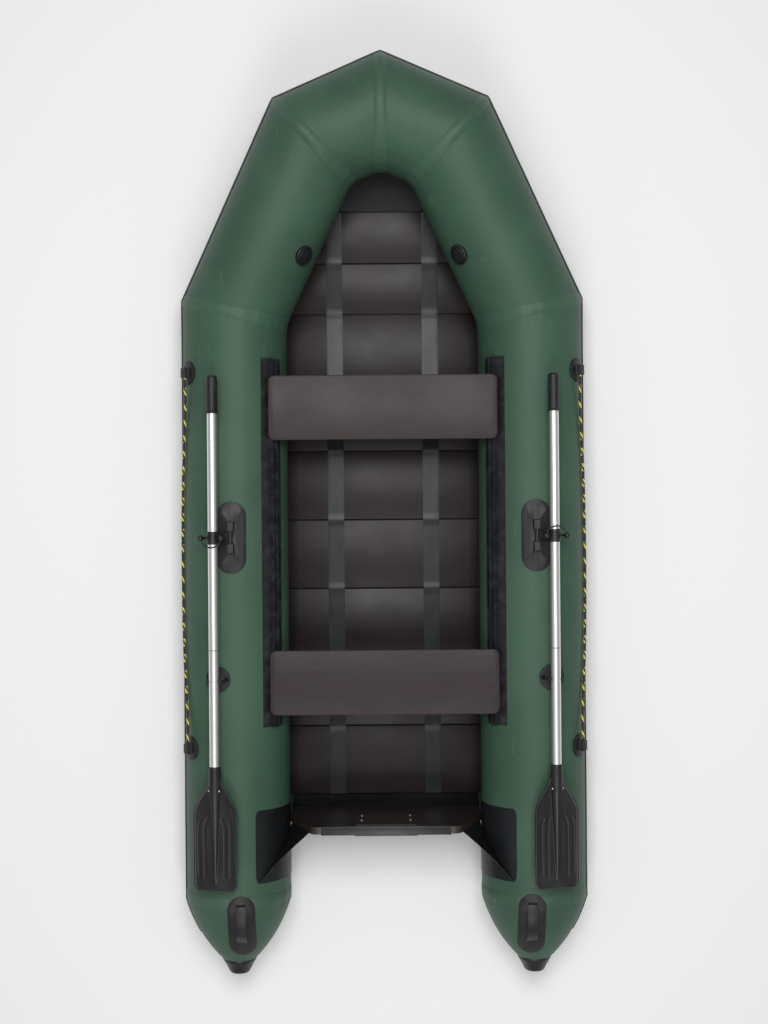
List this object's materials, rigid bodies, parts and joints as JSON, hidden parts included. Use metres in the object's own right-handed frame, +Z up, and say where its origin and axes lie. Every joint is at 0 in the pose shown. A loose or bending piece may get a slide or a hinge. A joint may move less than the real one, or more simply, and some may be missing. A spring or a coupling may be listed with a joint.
{
  "type": "inflatable dinghy",
  "caption": "Inflatable motor dinghy with tapered stern cones, slatted plywood floor, sliding bench seats, transom, oars in swivelling oarlocks and grab lines.",
  "frame": {"origin": "bottom centre of the whole boat, on the surface it stands on", "axes": "+Y towards the bow, +X to starboard, +Z up"},
  "size_m": [1.4512, 3.274, 0.5098],
  "materials": {
    "tube_fabric": "coated fabric, satin",
    "inner_fabric": "coated fabric",
    "seam_fabric": "coated fabric, satin",
    "bottom_fabric": "coated fabric",
    "black_fabric": "coated fabric, glossy",
    "black_plastic": "moulded, matt",
    "blade_plastic": "moulded, satin",
    "valve_plastic": "moulded",
    "black_rubber": "matt",
    "floor_ply": "film faced plywood",
    "transom_ply": "film faced plywood",
    "seat_ply": "film faced plywood",
    "plate_ply": "film faced plywood",
    "aluminium": "anodised, satin",
    "steel": "satin",
    "rope": "braided, black with yellow flecks"
  },
  "bodies": {
    "hull": {"side_tube_right": "tube_fabric", "side_tube_left": "tube_fabric", "bow_tube_right": "tube_fabric", "bow_tube_left": "tube_fabric", "nose_tube_right": "tube_fabric", "nose_tube_left": "tube_fabric", "stern_cone_right": "tube_fabric", "stern_cone_left": "tube_fabric", "cone_caps": "black_plastic", "bow_bulkhead": "inner_fabric", "bottom_sheet": "bottom_fabric", "rub_strake": "black_rubber", "seam_tapes": "seam_fabric", "floor_board_1": "floor_ply", "floor_board_2": "floor_ply", "floor_board_3": "floor_ply", "floor_board_4": "floor_ply", "floor_board_5": "floor_ply", "floor_board_6": "floor_ply", "floor_board_7": "floor_ply", "floor_board_8": "floor_ply", "floor_board_9": "floor_ply", "floor_straps": "black_fabric", "transom_board": "transom_ply", "transom_trim": "black_plastic", "motor_plates": "plate_ply", "transom_bolts": "steel", "transom_sill": "black_fabric", "transom_holders": "black_fabric", "seat_rails": "black_plastic", "oarlock_pad_right": "black_rubber", "oarlock_pad_left": "black_rubber", "oarlock_axles": "steel", "oar_rests": "black_rubber", "line_holders": "black_rubber", "grab_line_right": "rope", "grab_line_left": "rope", "carry_handles": "black_rubber", "valve_bodies": "black_plastic", "valve_springs": "steel"},
    "front_seat": {"seat_front": "seat_ply", "seat_front_runners": "black_plastic"},
    "rear_seat": {"seat_rear": "seat_ply", "seat_rear_runners": "black_plastic"},
    "bracket_left": {"oarlock_bracket_left": "black_plastic"},
    "fork_left": {"oarlock_fork_left": "black_plastic", "oar_collar_left": "black_plastic"},
    "oar_left": {"oar_shaft_left": "aluminium", "oar_grip_left": "black_rubber", "oar_blade_left": "blade_plastic"},
    "cap_left": {"valve_cap_left": "black_plastic"},
    "stem_left": {"valve_stem_left": "valve_plastic"},
    "bracket_right": {"oarlock_bracket_right": "black_plastic"},
    "fork_right": {"oarlock_fork_right": "black_plastic", "oar_collar_right": "black_plastic"},
    "oar_right": {"oar_shaft_right": "aluminium", "oar_grip_right": "black_rubber", "oar_blade_right": "blade_plastic"},
    "cap_right": {"valve_cap_right": "black_plastic"},
    "stem_right": {"valve_stem_right": "valve_plastic"}
  },
  "joints": [
    {"name": "front_seat_slide", "type": "slide", "parent": "hull", "child": "front_seat", "axis": [0, 1, 0], "range_m": [-0.36, 0.05]},
    {"name": "rear_seat_slide", "type": "slide", "parent": "hull", "child": "rear_seat", "axis": [0, 1, 0], "range_m": [-0.035, 0.36]},
    {"name": "oarlock_tilt_right", "type": "hinge", "parent": "hull", "child": "bracket_right", "pos_m": [0.532, -0.067, 0.398], "axis": [0, -1, 0], "range_deg": [0, 20]},
    {"name": "oar_swing_right", "type": "hinge", "parent": "bracket_right", "child": "fork_right", "pos_m": [0.58896, -0.067, 0.42896], "axis": [0.23, 0, 0.9732], "range_deg": [0, 100], "deforming": ["oar_rests"]},
    {"name": "oar_feather_right", "type": "hinge", "parent": "fork_right", "child": "oar_right", "pos_m": [0.58896, -0.067, 0.42896], "axis": [0, 1, 0], "range_deg": [-35, 35]},
    {"name": "valve_cap_turn_right", "type": "hinge", "parent": "hull", "child": "cap_right", "pos_m": [0.27297, 0.91863, 0.3452], "axis": [-0.6891, -0.4511, 0.5671], "range_deg": [0, 90]},
    {"name": "valve_stem_press_right", "type": "slide", "parent": "hull", "child": "stem_right", "axis": [0.6891, 0.4511, -0.5671], "range_m": [0, 0.005], "stiffness_N_per_m": 400, "springref_m": -0.004, "deforming": ["valve_springs"]},
    {"name": "oarlock_tilt_left", "type": "hinge", "parent": "hull", "child": "bracket_left", "pos_m": [-0.532, -0.067, 0.398], "axis": [0, 1, 0], "range_deg": [0, 20]},
    {"name": "oar_swing_left", "type": "hinge", "parent": "bracket_left", "child": "fork_left", "pos_m": [-0.58896, -0.067, 0.42896], "axis": [0.23, 0, -0.9732], "range_deg": [0, 100], "deforming": ["oar_rests"]},
    {"name": "oar_feather_left", "type": "hinge", "parent": "fork_left", "child": "oar_left", "pos_m": [-0.58896, -0.067, 0.42896], "axis": [0, 1, 0], "range_deg": [-35, 35]},
    {"name": "valve_cap_turn_left", "type": "hinge", "parent": "hull", "child": "cap_left", "pos_m": [-0.27297, 0.91863, 0.3452], "axis": [0.6891, -0.4511, 0.5671], "range_deg": [0, 90]},
    {"name": "valve_stem_press_left", "type": "slide", "parent": "hull", "child": "stem_left", "axis": [-0.6891, 0.4511, -0.5671], "range_m": [0, 0.005], "stiffness_N_per_m": 400, "springref_m": -0.004, "deforming": ["valve_springs"]}
  ]
}
